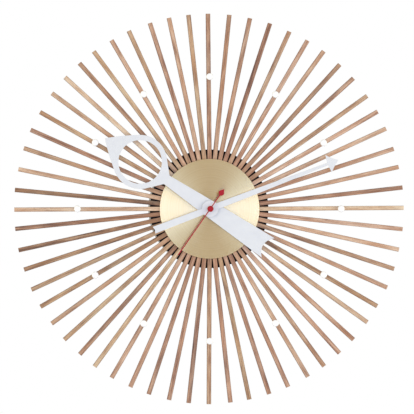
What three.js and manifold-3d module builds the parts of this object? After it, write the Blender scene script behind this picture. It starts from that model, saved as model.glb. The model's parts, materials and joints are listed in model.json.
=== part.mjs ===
// Sunburst wall clock. Sixty square wooden rays stand around a brass dial on a
// black drum, twelve white buttons on the rays mark the hours, and a quartz
// movement with one AA cell turns the three hands.
//
// Millimetres. Every piece is drawn in a dial frame: x to the right and y up as
// the viewer sees them, z from the wall towards the viewer, the clock's axis at
// x = y = 0. The last lines turn that frame so that +Z is up, the wall is the
// plane Y = 0 and the clock faces -Y.
import * as THREE from 'three';
import { mergeVertices } from 'three/addons/utils/BufferGeometryUtils.js';
import Module from 'manifold-3d';

const wasm = await Module();
wasm.setup();

// ---------------------------------------------------------------- dimensions

const GAP = 0.3; // left between pieces that touch

const RAY_TIP_RADIUS = 235;
const RAY_WIDTH = 5.2; // the rays are square
const HOURS = 12;
const RAYS_PER_HOUR = 5;
const RAY_COUNT = HOURS * RAYS_PER_HOUR;
const RAY_PITCH = (2 * Math.PI) / RAY_COUNT;
const RAY_ROOT_RADIUS = 53; // where neighbouring rays all but meet
const WEB_RADIUS = 46; // inner edge of the strip that joins five rays
const MARKER_PLACE = 159;
const MARKER_RADIUS = 4.1;
const MARKER_RIM = 1.1;
const MARKER_HEIGHT = 3.9;

const DRUM_RADIUS = 71.5;
const DRUM_DEPTH = 34;
const DRUM_WALL = 1.4;
const DRUM_FACE = 1.6;
const HUB_THICKNESS = 2;
const HUB_BORE = 40;
const RIB_ROOT_RADIUS = 59.5;
const RIB_HEIGHT = 1;

const DIAL_RADIUS = 60;
const DIAL_THICKNESS = 1.2;
const COVER_THICKNESS = 1.8;
const COVER_RADIUS = DRUM_RADIUS - DRUM_WALL - GAP;
const WASHER_THICKNESS = 0.6;
const WASHER_RADIUS = 6.6;
const NUT_THICKNESS = 2.2;
const NUT_RADIUS = 6; // over the corners
const THREAD_PROUD = 0.4; // of the nut
const HAND_THICKNESS = 1;
const HAND_NUT_THICKNESS = 1;
const HAND_NUT_RADIUS = 3;
const SECOND_HAND_THICKNESS = 0.6;
const CAP_RADIUS = 3.6;
const CAP_HEIGHT = 3;

// Layers of the front, from the drum's face to the tip of the cap.
const RAY_BACK = DRUM_DEPTH + GAP + HUB_THICKNESS + GAP;
const RAY_FRONT = RAY_BACK + RAY_WIDTH;
const DIAL_BACK = RAY_FRONT + GAP;
const DIAL_FRONT = DIAL_BACK + DIAL_THICKNESS;
const WASHER_BACK = DIAL_FRONT + GAP;
const WASHER_FRONT = WASHER_BACK + WASHER_THICKNESS;
const NUT_BACK = WASHER_FRONT + GAP;
const NUT_FRONT = NUT_BACK + NUT_THICKNESS;
const HOUR_HAND_BACK = NUT_FRONT + 1;
const MINUTE_HAND_BACK = HOUR_HAND_BACK + HAND_THICKNESS + 1.4;
const HAND_NUT_BACK = MINUTE_HAND_BACK + HAND_THICKNESS + GAP;
const HAND_NUT_FRONT = HAND_NUT_BACK + HAND_NUT_THICKNESS;
const SECOND_HAND_BACK = HAND_NUT_FRONT + 0.5;
const CAP_BACK = SECOND_HAND_BACK + SECOND_HAND_THICKNESS + GAP;

// Movement: a square plastic case behind the drum's face.
const CASE_SIZE = 56;
const CASE_CORNER = 4;
const CASE_WALL = 1.2;
const CASE_DEPTH = 16;
const CASE_FRONT = DRUM_DEPTH - DRUM_FACE - GAP;
const CASE_BACK = CASE_FRONT - CASE_DEPTH;
const CASE_SPLIT = CASE_BACK + 7.8;
const CASE_FLOOR = CASE_BACK + CASE_WALL; // inner face at the back
const CASE_CEILING = CASE_FRONT - CASE_WALL; // inner face at the front
const BAY_TOP = -12.2; // the battery bay lies below this line
const CELL_RADIUS = 7;
const CELL_LENGTH = 49;
const CELL_PLACE = [0, -19.5, CASE_BACK + 7.3];
const CONTACT_PLACE = 26; // distance of the contacts' inner faces from the middle
const CONTACT_THICKNESS = 0.5;

// Concentric shafts, from the seconds arbor outwards.
const SECONDS_SHAFT = 0.5;
const SECONDS_SHAFT_FRONT = CAP_BACK + 1.5; // it ends inside the cap
const CANNON_BORE = SECONDS_SHAFT + GAP;
const CANNON_RADIUS = 1.5;
const PIPE_BORE = CANNON_RADIUS + GAP;
const PIPE_RADIUS = 2.5;
const THREAD_BORE = PIPE_RADIUS + GAP;
const THREAD_RADIUS = 4;
const THREAD_CLEAR = THREAD_RADIUS + GAP;
const ARBOR_RADIUS = 0.5;

// Time shown at rest, as clockwise angles from twelve.
const HOUR_HAND_ANGLE = 303.8;
const MINUTE_HAND_ANGLE = 69.2;
const SECOND_HAND_ANGLE = 215;

// ------------------------------------------------------------ shape helpers

const radians = THREE.MathUtils.degToRad;

// A point at a radius and a mathematical angle (anticlockwise from +x).
const polar = (radius, angle, centre = [0, 0]) => new THREE.Vector2(
  centre[0] + radius * Math.cos(angle),
  centre[1] + radius * Math.sin(angle),
);

// Mathematical angle of a clock direction given in degrees from twelve.
const clockAngle = (degrees) => radians(90 - degrees);

function circlePoints(radius, sides, centre = [0, 0]) {
  return Array.from({ length: sides }, (_, i) => polar(radius, (2 * Math.PI * i) / sides, centre));
}

function roundedRectangle(width, height, corner, centre = [0, 0]) {
  const [cx, cy] = centre;
  const left = cx - width / 2;
  const right = cx + width / 2;
  const bottom = cy - height / 2;
  const top = cy + height / 2;
  const shape = new THREE.Shape();
  shape.moveTo(left + corner, bottom);
  shape.lineTo(right - corner, bottom);
  shape.quadraticCurveTo(right, bottom, right, bottom + corner);
  shape.lineTo(right, top - corner);
  shape.quadraticCurveTo(right, top, right - corner, top);
  shape.lineTo(left + corner, top);
  shape.quadraticCurveTo(left, top, left, top - corner);
  shape.lineTo(left, bottom + corner);
  shape.quadraticCurveTo(left, bottom, left + corner, bottom);
  return shape;
}

// A plate with the outline and holes of a shape, from one depth to another.
function slab(shape, back, front, curveSegments = 4) {
  const options = { depth: front - back, bevelEnabled: false, curveSegments };
  return new THREE.ExtrudeGeometry(shape, options).translate(0, 0, back);
}

function plate(outline, holes, back, front) {
  const shape = new THREE.Shape(outline);
  shape.holes = holes.map((points) => new THREE.Path(points));
  return slab(shape, back, front);
}

function disc(radius, sides, back, front, centre = [0, 0]) {
  return plate(circlePoints(radius, sides, centre), [], back, front);
}

function tube(bore, radius, sides, back, front, centre = [0, 0]) {
  const outer = circlePoints(radius, sides, centre);
  return plate(outer, [circlePoints(bore, sides, centre)], back, front);
}

function block(low, high) {
  const size = high.map((value, i) => value - low[i]);
  const middle = high.map((value, i) => (value + low[i]) / 2);
  return new THREE.BoxGeometry(...size).translate(...middle);
}

// A body turned about the z axis from [radius, depth] pairs that run from the
// front to the back outside, or round a closed section.
function turned(profile, sides) {
  const points = profile.map(([radius, depth]) => new THREE.Vector2(radius, depth));
  return new THREE.LatheGeometry(points, sides).rotateX(Math.PI / 2);
}

function toSolid(geometry) {
  const bare = geometry.clone();
  bare.deleteAttribute('normal');
  bare.deleteAttribute('uv');
  const merged = mergeVertices(bare, 1e-4);
  return new wasm.Manifold(new wasm.Mesh({
    numProp: 3,
    vertProperties: new Float32Array(merged.attributes.position.array),
    triVerts: new Uint32Array(merged.index.array),
  }));
}

function fromSolid(solid) {
  const mesh = solid.getMesh();
  const geometry = new THREE.BufferGeometry();
  geometry.setAttribute('position', new THREE.BufferAttribute(mesh.vertProperties, 3));
  geometry.setIndex(new THREE.BufferAttribute(mesh.triVerts, 1));
  geometry.computeVertexNormals();
  return geometry;
}

// Joins the first list of geometries and cuts the second list out of them.
function build(added, removed = []) {
  const joined = added.map(toSolid).reduce((sum, next) => sum.add(next));
  return fromSolid(removed.map(toSolid).reduce((rest, cut) => rest.subtract(cut), joined));
}

// ---------------------------------------------------------------- materials

const finish = (color, roughness, metalness = 0) => new THREE.MeshStandardMaterial({
  color,
  roughness,
  metalness,
});

const MATERIALS = {
  walnut: () => finish(0x8a5a3c, 0.6),
  brass: () => finish(0xc9a873, 0.32, 1),
  blackSteel: () => finish(0x1c1c1e, 0.45, 0.2),
  whiteLacquer: () => finish(0xf4f4f2, 0.3),
  handLacquer: () => finish(0xe2e2e6, 0.4),
  redLacquer: () => finish(0xb8202c, 0.35),
  zincSteel: () => finish(0xb9bcc0, 0.35, 1),
  casePlastic: () => finish(0x222326, 0.55),
  knobPlastic: () => finish(0x46464a, 0.5),
  gearPlastic: () => finish(0xe8e4d8, 0.5),
  copper: () => finish(0xb5653a, 0.4, 0.9),
  boardGreen: () => finish(0x1f5b3a, 0.6),
  cellWrap: () => finish(0x4a5560, 0.4),
};

const clock = new THREE.Group();

function addPart(name, geometry, material) {
  const mesh = new THREE.Mesh(geometry, MATERIALS[material]());
  mesh.name = name;
  clock.add(mesh);
}

// ------------------------------------------------------ axes of the movement

// Distances between axes that mesh, and directions from one to the next.
const STEP_DISTANCE = 10.5;
const ROTOR_DISTANCE = 7.9;
const THIRD_DISTANCE = 10.2;
const MINUTE_DISTANCE = 7.5;
const SETTING_DISTANCE = 8.44;
const TO_STEP = radians(135);
const STEP_TO_ROTOR = radians(120);
const TO_THIRD = radians(50);
const TO_MINUTE = radians(-10);
const MINUTE_TO_SETTING = 0;

const CENTRE = [0, 0];
const STEP_PLACE = polar(STEP_DISTANCE, TO_STEP).toArray();
const ROTOR_PLACE = polar(ROTOR_DISTANCE, STEP_TO_ROTOR, STEP_PLACE).toArray();
const THIRD_PLACE = polar(THIRD_DISTANCE, TO_THIRD).toArray();
const MINUTE_PLACE = polar(MINUTE_DISTANCE, TO_MINUTE).toArray();
const SETTING_PLACE = polar(SETTING_DISTANCE, MINUTE_TO_SETTING, MINUTE_PLACE).toArray();

// --------------------------------------------------------- drum and its back

const SCREW_CIRCLE = 62; // distance of the cover screws from the axis
const SCREW_PLACES = [30, 150, 270].map(
  (degrees) => polar(SCREW_CIRCLE, radians(degrees)).toArray(),
);
const SCREW_RADIUS = 1.5;
const SCREW_CLEAR = SCREW_RADIUS + GAP;
const SCREW_LENGTH = 8;
const POST_RADIUS = 3.4;
const HANGER_HEIGHT = 50;
const HANGER_SIZE = [44, 24];
const HANGER_THICKNESS = 1.2;
const HANGER_BACK = COVER_THICKNESS + GAP;
const RIVET_SPAN = 34;
const RIVET_RADIUS = 1.5;
const RIVET_HEAD = 0.9;
const RIVET_PLACES = [-1, 1].map((side) => [(side * RIVET_SPAN) / 2, HANGER_HEIGHT]);
const KEYHOLE_PLACE = [0, HANGER_HEIGHT - 4]; // middle of the entry
const KEYHOLE_RISE = 8;
const COVER_KEYHOLE = [6.5, 9]; // the entry's radius and the slot's width
const HANGER_KEYHOLE = [4.5, 4.6];
const KNOB_WINDOW_RADIUS = 7.8;
const CELL_WINDOW = [54, 15.4];
const COUNTERSINK_RADIUS = 3;
const COUNTERSINK_DEPTH = 1.5;
const COVER_INSET = 0.1; // screw and rivet ends lie this far inside the rear face

// A pressed can, open at the back.
function drum() {
  const inner = DRUM_RADIUS - DRUM_WALL;
  const innerFace = DRUM_DEPTH - DRUM_FACE;
  return build(
    [disc(DRUM_RADIUS, 72, 0, DRUM_DEPTH)],
    [disc(inner, 72, -1, innerFace), disc(THREAD_CLEAR, 24, innerFace - 1, DRUM_DEPTH + 1)],
  );
}

// A standoff behind the drum's face that takes a cover screw.
function screwPost(place) {
  const back = COVER_THICKNESS + GAP;
  return build(
    [disc(POST_RADIUS, 16, back, DRUM_DEPTH - DRUM_FACE - GAP, place)],
    [disc(SCREW_CLEAR, 12, back - 1, back + SCREW_LENGTH, place)],
  );
}

// Keyhole outline: a round entry with a narrower slot above it.
function keyhole(entryRadius, slotWidth) {
  const [cx, cy] = KEYHOLE_PLACE;
  const half = slotWidth / 2;
  const mouth = Math.asin(half / entryRadius);
  const shape = new THREE.Shape();
  shape.absarc(cx, cy, entryRadius, Math.PI / 2 + mouth, Math.PI * 2.5 - mouth, false);
  shape.absarc(cx, cy + KEYHOLE_RISE, half, 0, Math.PI, false);
  return shape;
}

// A cone that narrows from the rear face inwards, for a flat screw head.
const countersink = (wide, narrow, back, place) => turned(
  [[0, back], [wide, back], [narrow, back + COUNTERSINK_DEPTH], [0, back + COUNTERSINK_DEPTH]],
  14,
).translate(place[0], place[1], 0);

function rearCover() {
  const through = COVER_THICKNESS + 1;
  const screwHole = (place) => disc(SCREW_CLEAR, 14, -1, through, place);
  const screwSeat = (place) => countersink(COUNTERSINK_RADIUS + GAP, SCREW_CLEAR, -0.01, place);
  const rivetHole = (place) => disc(RIVET_RADIUS + GAP, 12, -1, through, place);
  return build(
    [disc(COVER_RADIUS, 72, 0, COVER_THICKNESS)],
    [
      slab(keyhole(...COVER_KEYHOLE), -1, through, 6),
      slab(roundedRectangle(...CELL_WINDOW, 2, CELL_PLACE), -1, through),
      disc(KNOB_WINDOW_RADIUS, 32, -1, through, SETTING_PLACE),
      ...SCREW_PLACES.map(screwHole),
      ...SCREW_PLACES.map(screwSeat),
      ...RIVET_PLACES.map(rivetHole),
    ],
  );
}

function coverScrew(place) {
  const tip = COVER_THICKNESS + SCREW_LENGTH - 1;
  return build([
    countersink(COUNTERSINK_RADIUS, SCREW_RADIUS, COVER_INSET, place),
    disc(SCREW_RADIUS, 14, COVER_INSET + 1, tip, place),
  ]);
}

// The shank fills the cover's hole and the head holds the plate inside it.
function hangerRivet(place) {
  const seat = HANGER_BACK + HANGER_THICKNESS + GAP;
  return build([
    disc(RIVET_RADIUS, 12, COVER_INSET, seat + 0.4, place),
    disc(RIVET_RADIUS * 2, 16, seat, seat + RIVET_HEAD, place),
  ]);
}

function hangerPlate() {
  const outline = roundedRectangle(...HANGER_SIZE, 3, [0, HANGER_HEIGHT]);
  const slot = keyhole(...HANGER_KEYHOLE).getPoints(6);
  outline.holes = [
    new THREE.Path(slot),
    ...RIVET_PLACES.map((place) => new THREE.Path(circlePoints(RIVET_RADIUS + GAP, 12, place))),
  ];
  return slab(outline, HANGER_BACK, HANGER_BACK + HANGER_THICKNESS);
}

function addDrum() {
  addPart('drum', drum(), 'blackSteel');
  addPart('rear_cover', rearCover(), 'blackSteel');
  addPart('hanger_plate', hangerPlate(), 'zincSteel');
  RIVET_PLACES.forEach((place, i) => {
    addPart(`hanger_rivet_${i + 1}`, hangerRivet(place), 'zincSteel');
  });
  SCREW_PLACES.forEach((place, i) => {
    addPart(`screw_post_${i + 1}`, screwPost(place), 'zincSteel');
    addPart(`cover_screw_${i + 1}`, coverScrew(place), 'zincSteel');
  });
}

// ------------------------------------------------------------- hub and rays

// Ribs between the rays keep them spaced; each widens outwards with the pitch.
function hubRing() {
  const back = DRUM_DEPTH + GAP;
  const face = back + HUB_THICKNESS;
  const ring = tube(HUB_BORE, DRUM_RADIUS, RAY_COUNT * 2, back, face);
  const halfRib = (radius) => (radius * RAY_PITCH - RAY_WIDTH) / 2 - GAP;
  const ribEnd = DRUM_RADIUS - 0.1;
  const overlap = 0.5; // the ribs' feet are sunk into the ring
  const ribs = [];
  for (let i = 0; i < RAY_COUNT; i += 1) {
    const rib = new THREE.Shape([
      new THREE.Vector2(RIB_ROOT_RADIUS, -halfRib(RIB_ROOT_RADIUS)),
      new THREE.Vector2(ribEnd, -halfRib(DRUM_RADIUS)),
      new THREE.Vector2(ribEnd, halfRib(DRUM_RADIUS)),
      new THREE.Vector2(RIB_ROOT_RADIUS, halfRib(RIB_ROOT_RADIUS)),
    ]);
    ribs.push(slab(rib, face - overlap, face + RIB_HEIGHT).rotateZ((i + 0.5) * RAY_PITCH));
  }
  return build([ring, ...ribs]);
}

// The five rays around one hour, joined by a strip hidden under the dial.
function raySector(hour) {
  const middle = clockAngle(hour * 30);
  const half = RAY_WIDTH / 2;
  const outline = [];
  for (let i = 0; i < RAYS_PER_HOUR; i += 1) {
    const angle = middle + (i - (RAYS_PER_HOUR - 1) / 2) * RAY_PITCH;
    const along = polar(1, angle);
    const across = polar(half, angle + Math.PI / 2);
    const corner = (radius, side) => along.clone().multiplyScalar(radius).addScaledVector(across, side);
    outline.push(corner(RAY_ROOT_RADIUS, -1), corner(RAY_TIP_RADIUS, -1));
    outline.push(corner(RAY_TIP_RADIUS, 1), corner(RAY_ROOT_RADIUS, 1));
  }
  const webHalf = ((RAYS_PER_HOUR - 1) / 2) * RAY_PITCH + Math.asin(half / RAY_ROOT_RADIUS);
  const webSides = RAYS_PER_HOUR - 1;
  for (let i = webSides; i >= 0; i -= 1) {
    outline.push(polar(WEB_RADIUS, middle + webHalf * ((2 * i) / webSides - 1)));
  }
  return slab(new THREE.Shape(outline), RAY_BACK, RAY_FRONT);
}

// A white button: a short rim under a dome.
function hourMarker(hour) {
  const back = RAY_FRONT + GAP;
  const place = polar(MARKER_PLACE, clockAngle(hour * 30));
  const steps = 3;
  const dome = [];
  for (let i = 0; i < steps; i += 1) {
    const angle = (i / steps) * (Math.PI / 2);
    const rise = MARKER_RIM + (MARKER_HEIGHT - MARKER_RIM) * Math.sin(angle);
    dome.push([MARKER_RADIUS * Math.cos(angle), back + rise]);
  }
  const profile = [[0, back], [MARKER_RADIUS, back], ...dome, [0, back + MARKER_HEIGHT]];
  return turned(profile, 16).translate(place.x, place.y, 0);
}

function addFront() {
  addPart('hub_ring', hubRing(), 'blackSteel');
  for (let hour = 1; hour <= HOURS; hour += 1) {
    const label = String(hour).padStart(2, '0');
    addPart(`rays_${label}`, raySector(hour), 'walnut');
    addPart(`hour_marker_${label}`, hourMarker(hour), 'whiteLacquer');
  }
  addPart('dial_disc', tube(THREAD_CLEAR, DIAL_RADIUS, 80, DIAL_BACK, DIAL_FRONT), 'brass');
  const washer = tube(THREAD_CLEAR, WASHER_RADIUS, 28, WASHER_BACK, WASHER_FRONT);
  addPart('dial_washer', washer, 'zincSteel');
  const hexagon = circlePoints(NUT_RADIUS, 6);
  const bore = circlePoints(THREAD_CLEAR, 24);
  addPart('shaft_nut', plate(hexagon, [bore], NUT_BACK, NUT_FRONT), 'brass');
}

// -------------------------------------------------------------- gear train

const ADDENDUM = 0.8; // of a tooth, in modules
const DEDENDUM = 1.15;

// Each mesh: teeth of the driving pinion and of the wheel, and the distance
// between their axes, which sets the module.
const moduleOf = (pinionTeeth, wheelTeeth, distance) => (2 * distance) / (pinionTeeth + wheelTeeth);

const TEETH = {
  rotor: 12,
  stepWheel: 60,
  stepPinion: 10,
  secondsWheel: 60,
  secondsPinion: 8,
  thirdWheel: 60,
  thirdPinion: 8,
  centreWheel: 64,
  cannonPinion: 12,
  minuteWheel: 36,
  minutePinion: 10,
  hourWheel: 40,
  setting: 18,
};

// Layers of the train above the case's floor.
const SECONDS_LAYER = CASE_FLOOR + 0.9;
const THIRD_LAYER = SECONDS_LAYER + 1.8;
const STEP_LAYER = THIRD_LAYER + 1.3;
const CENTRE_LAYER = STEP_LAYER + 1.2;
const MINUTE_LAYER = CENTRE_LAYER + 3.1;
const HOUR_LAYER = MINUTE_LAYER + 2.2;
const WHEEL_THICKNESS = 0.9;

// Teeth are V shaped. A tooth's middle lies at the phase angle.
function gearOutline(teeth, module, phase, centre) {
  const pitchRadius = (teeth * module) / 2;
  const points = [];
  for (let i = 0; i < teeth; i += 1) {
    const angle = phase + (2 * Math.PI * i) / teeth;
    points.push(polar(pitchRadius + ADDENDUM * module, angle, centre));
    points.push(polar(pitchRadius - DEDENDUM * module, angle + Math.PI / teeth, centre));
  }
  return points;
}

// The phase of a mate that meshes with a gear in the given direction.
function matePhase(teeth, phase, direction, mateTeeth) {
  const pitch = (2 * Math.PI) / teeth;
  const lead = phase - direction;
  const offset = lead - pitch * Math.round(lead / pitch);
  return direction + Math.PI - (offset * teeth) / mateTeeth + Math.PI / mateTeeth;
}

const gear = (teeth, module, phase, back, front, centre) => plate(
  gearOutline(teeth, module, phase, centre),
  [],
  back,
  front,
);

const arbor = (back, front, centre, radius = ARBOR_RADIUS) => disc(radius, 12, back, front, centre);

const MODULES = {
  rotor: moduleOf(TEETH.rotor, TEETH.stepWheel, ROTOR_DISTANCE),
  step: moduleOf(TEETH.stepPinion, TEETH.secondsWheel, STEP_DISTANCE),
  third: moduleOf(TEETH.secondsPinion, TEETH.thirdWheel, THIRD_DISTANCE),
  centre: moduleOf(TEETH.thirdPinion, TEETH.centreWheel, THIRD_DISTANCE),
  minute: moduleOf(TEETH.cannonPinion, TEETH.minuteWheel, MINUTE_DISTANCE),
  hour: moduleOf(TEETH.minutePinion, TEETH.hourWheel, MINUTE_DISTANCE),
};

const ARBOR_BACK = CASE_FLOOR + GAP;
const ARBOR_FRONT = CASE_CEILING - GAP;
const MAGNET_RADIUS = 3;

function rotor() {
  const phase = matePhase(TEETH.stepWheel, STEP_TO_ROTOR, STEP_TO_ROTOR, TEETH.rotor);
  const pinionBack = STEP_LAYER - 0.5;
  return build([
    arbor(ARBOR_BACK, ARBOR_FRONT, ROTOR_PLACE),
    disc(MAGNET_RADIUS, 20, ARBOR_BACK + 0.3, ARBOR_BACK + 2.6, ROTOR_PLACE),
    gear(TEETH.rotor, MODULES.rotor, phase, pinionBack, pinionBack + 1.9, ROTOR_PLACE),
  ]);
}

function stepWheel() {
  const phase = matePhase(TEETH.secondsWheel, TO_STEP, TO_STEP, TEETH.stepPinion);
  const front = SECONDS_LAYER + WHEEL_THICKNESS;
  return build([
    arbor(ARBOR_BACK, ARBOR_FRONT, STEP_PLACE),
    gear(TEETH.stepPinion, MODULES.step, phase, SECONDS_LAYER - 0.3, front + 0.3, STEP_PLACE),
    gear(
      TEETH.stepWheel, MODULES.rotor, STEP_TO_ROTOR,
      STEP_LAYER, STEP_LAYER + WHEEL_THICKNESS, STEP_PLACE,
    ),
  ]);
}

function secondsWheel() {
  const front = THIRD_LAYER + WHEEL_THICKNESS;
  const phase = matePhase(TEETH.thirdWheel, TO_THIRD + Math.PI, TO_THIRD + Math.PI, TEETH.secondsPinion);
  return build([
    arbor(ARBOR_BACK, SECONDS_SHAFT_FRONT, CENTRE, SECONDS_SHAFT),
    gear(
      TEETH.secondsWheel, MODULES.step, TO_STEP,
      SECONDS_LAYER, SECONDS_LAYER + WHEEL_THICKNESS, CENTRE,
    ),
    gear(TEETH.secondsPinion, MODULES.third, phase, THIRD_LAYER - 0.3, front + 0.2, CENTRE),
  ]);
}

function thirdWheel() {
  const towardsCentre = TO_THIRD + Math.PI;
  const phase = matePhase(TEETH.centreWheel, TO_THIRD, TO_THIRD, TEETH.thirdPinion);
  const pinionFront = CENTRE_LAYER + WHEEL_THICKNESS + 0.3;
  return build([
    arbor(ARBOR_BACK, ARBOR_FRONT, THIRD_PLACE),
    gear(
      TEETH.thirdWheel, MODULES.third, towardsCentre,
      THIRD_LAYER, THIRD_LAYER + WHEEL_THICKNESS, THIRD_PLACE,
    ),
    gear(TEETH.thirdPinion, MODULES.centre, phase, CENTRE_LAYER - 0.3, pinionFront, THIRD_PLACE),
  ]);
}

// The centre wheel carries the cannon, the tube that the minute hand sits on.
function centreWheel() {
  const phase = matePhase(TEETH.minuteWheel, TO_MINUTE + Math.PI, TO_MINUTE + Math.PI, TEETH.cannonPinion);
  const pinionFront = MINUTE_LAYER + WHEEL_THICKNESS + 0.3;
  return build(
    [
      disc(CANNON_RADIUS, 20, CENTRE_LAYER, HAND_NUT_BACK - GAP, CENTRE),
      gear(
        TEETH.centreWheel, MODULES.centre, TO_THIRD,
        CENTRE_LAYER, CENTRE_LAYER + WHEEL_THICKNESS, CENTRE,
      ),
      gear(TEETH.cannonPinion, MODULES.minute, phase, MINUTE_LAYER - 0.3, pinionFront, CENTRE),
    ],
    [disc(CANNON_BORE, 12, CENTRE_LAYER - 1, HAND_NUT_FRONT, CENTRE)],
  );
}

function minuteWheel() {
  const phase = matePhase(TEETH.hourWheel, TO_MINUTE, TO_MINUTE, TEETH.minutePinion);
  const pinionFront = HOUR_LAYER + WHEEL_THICKNESS + 0.2;
  return build([
    arbor(MINUTE_LAYER - 0.5, ARBOR_FRONT, MINUTE_PLACE),
    gear(
      TEETH.minuteWheel, MODULES.minute, TO_MINUTE + Math.PI,
      MINUTE_LAYER, MINUTE_LAYER + WHEEL_THICKNESS, MINUTE_PLACE,
    ),
    gear(TEETH.minutePinion, MODULES.hour, phase, HOUR_LAYER - 0.3, pinionFront, MINUTE_PLACE),
  ]);
}

function hourWheel() {
  return build(
    [
      disc(PIPE_RADIUS, 24, HOUR_LAYER, HOUR_HAND_BACK + HAND_THICKNESS, CENTRE),
      gear(
        TEETH.hourWheel, MODULES.hour, TO_MINUTE,
        HOUR_LAYER, HOUR_LAYER + WHEEL_THICKNESS, CENTRE,
      ),
    ],
    [disc(PIPE_BORE, 20, HOUR_LAYER - 1, MINUTE_HAND_BACK, CENTRE)],
  );
}

// The knob at the back turns the minute wheel to set the hands.
const KNOB_RADIUS = 6;
const KNOB_FRONT = CASE_BACK - 2;
const KNOB_THICKNESS = 6;
const KNOB_FLUTES = 18;
const KNOB_SHAFT = 1;

function settingKnob() {
  const phase = matePhase(
    TEETH.minuteWheel, TO_MINUTE + Math.PI, MINUTE_TO_SETTING, TEETH.setting,
  );
  const grip = [];
  for (let i = 0; i < KNOB_FLUTES; i += 1) {
    const angle = (2 * Math.PI * i) / KNOB_FLUTES;
    grip.push(polar(KNOB_RADIUS, angle, SETTING_PLACE));
    grip.push(polar(KNOB_RADIUS - 0.6, angle + Math.PI / KNOB_FLUTES, SETTING_PLACE));
  }
  return build([
    plate(grip, [], KNOB_FRONT - KNOB_THICKNESS, KNOB_FRONT),
    arbor(KNOB_FRONT - 1, ARBOR_FRONT, SETTING_PLACE, KNOB_SHAFT),
    gear(
      TEETH.setting, MODULES.minute, phase,
      MINUTE_LAYER, MINUTE_LAYER + WHEEL_THICKNESS, SETTING_PLACE,
    ),
  ]);
}

// ------------------------------------------------------------ movement case

const INNER_SIZE = CASE_SIZE - 2 * CASE_WALL;
const BEARING_RADIUS = 1.5;
const caseOutline = () => roundedRectangle(CASE_SIZE, CASE_SIZE, CASE_CORNER);
const caseCavity = () => roundedRectangle(INNER_SIZE, INNER_SIZE, CASE_CORNER - CASE_WALL);
const bearing = (place, back, front, wider = 0) => tube(
  ARBOR_RADIUS + GAP + wider, BEARING_RADIUS + wider, 12, back, front, place,
);
const TRAIN_PLACES = [STEP_PLACE, ROTOR_PLACE, THIRD_PLACE];

const BAY_WALL_HALF = 25.2; // stops short of the contacts' arms
const BAY_WALL_THICKNESS = 1.2;
const BAY_OPENING_HALF = 25.6;

function rearCase() {
  const shell = build(
    [slab(caseOutline(), CASE_BACK, CASE_SPLIT)],
    [slab(caseCavity(), CASE_FLOOR, CASE_SPLIT + 1)],
  );
  const bayWall = block(
    [-BAY_WALL_HALF, BAY_TOP, CASE_FLOOR - 0.5],
    [BAY_WALL_HALF, BAY_TOP + BAY_WALL_THICKNESS, CASE_SPLIT],
  );
  const sockets = [...TRAIN_PLACES, CENTRE].map(
    (place) => bearing(place, CASE_FLOOR - 0.2, CASE_FLOOR + 0.5),
  );
  const bayOpening = block(
    [-BAY_OPENING_HALF, GAP / 2 - INNER_SIZE / 2, CASE_BACK - 1],
    [BAY_OPENING_HALF, BAY_TOP - GAP, CASE_FLOOR + 1],
  );
  const knobHole = disc(KNOB_SHAFT + GAP, 12, CASE_BACK - 1, CASE_FLOOR + 1, SETTING_PLACE);
  return build([shell, bayWall, ...sockets], [bayOpening, knobHole]);
}

function frontCase() {
  const back = CASE_SPLIT + GAP;
  const shell = build(
    [
      slab(caseOutline(), back, CASE_FRONT),
      disc(THREAD_RADIUS, 24, CASE_FRONT - 0.5, NUT_FRONT + THREAD_PROUD),
    ],
    [slab(caseCavity(), back - 1, CASE_CEILING), disc(THREAD_BORE, 20, back, HOUR_HAND_BACK)],
  );
  const sockets = [...TRAIN_PLACES, MINUTE_PLACE, SETTING_PLACE].map((place) => {
    const wider = place === SETTING_PLACE ? KNOB_SHAFT - ARBOR_RADIUS : 0;
    return bearing(place, ARBOR_FRONT - 0.9, CASE_CEILING + 0.2, wider);
  });
  return build([shell, ...sockets]);
}

// A cell lying along x: the can, a bright negative end and the positive nub.
function cell() {
  const half = CELL_LENGTH / 2;
  const nub = 1.2;
  const profile = [
    [0, -half], [CELL_RADIUS - 1, -half], [CELL_RADIUS, -half + 1],
    [CELL_RADIUS, half - 1.5], [CELL_RADIUS - 1, half - 0.5],
    [2.7, half - 0.5], [2.7, half + nub - 0.5], [0, half + nub - 0.5],
  ];
  return turned(profile, 20).rotateY(Math.PI / 2).translate(...CELL_PLACE);
}

// A sprung tab at one end of the cell, with an arm along the case's side wall.
function contact(side, armTop) {
  const faces = [side * CONTACT_PLACE, side * (CONTACT_PLACE + CONTACT_THICKNESS)];
  const low = Math.min(...faces);
  const high = Math.max(...faces);
  const [, height, middle] = CELL_PLACE;
  const tabHalf = 5.5;
  const tabDepth = 4;
  const armDepth = 3.5;
  return build([
    block([low, height - tabHalf, middle - tabDepth], [high, height + tabHalf, middle + tabDepth]),
    block([low, height + tabHalf - 1, middle - armDepth], [high, armTop, middle - 0.5]),
  ]);
}

const BOARD_SIZE = [15, 9.6];
const BOARD_PLACE = [17.6, 21.4];
const BOARD_BACK = CASE_FLOOR + 0.6;
const BOARD_THICKNESS = 1;
const CHIP_PLACE = [16, 21.6];

// The circuit board, with the sealing drop over its chip.
function circuitBoard() {
  const front = BOARD_BACK + BOARD_THICKNESS;
  const board = slab(roundedRectangle(...BOARD_SIZE, 0.8, BOARD_PLACE), BOARD_BACK, front);
  const drop = turned([[0, 0], [3.2, 0], [2.2, 1], [0, 1.3]], 14);
  return build([board, drop.translate(...CHIP_PLACE, front - 0.1)]);
}

const STATOR_BACK = ARBOR_BACK + 0.7;
const STATOR_TOP = 26;
const STATOR_YOKE = 18.6; // lower edge of the space under the coil
const LEG_LEFT = [-21, -16.5];
const LEG_RIGHT = [2, 6];

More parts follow.
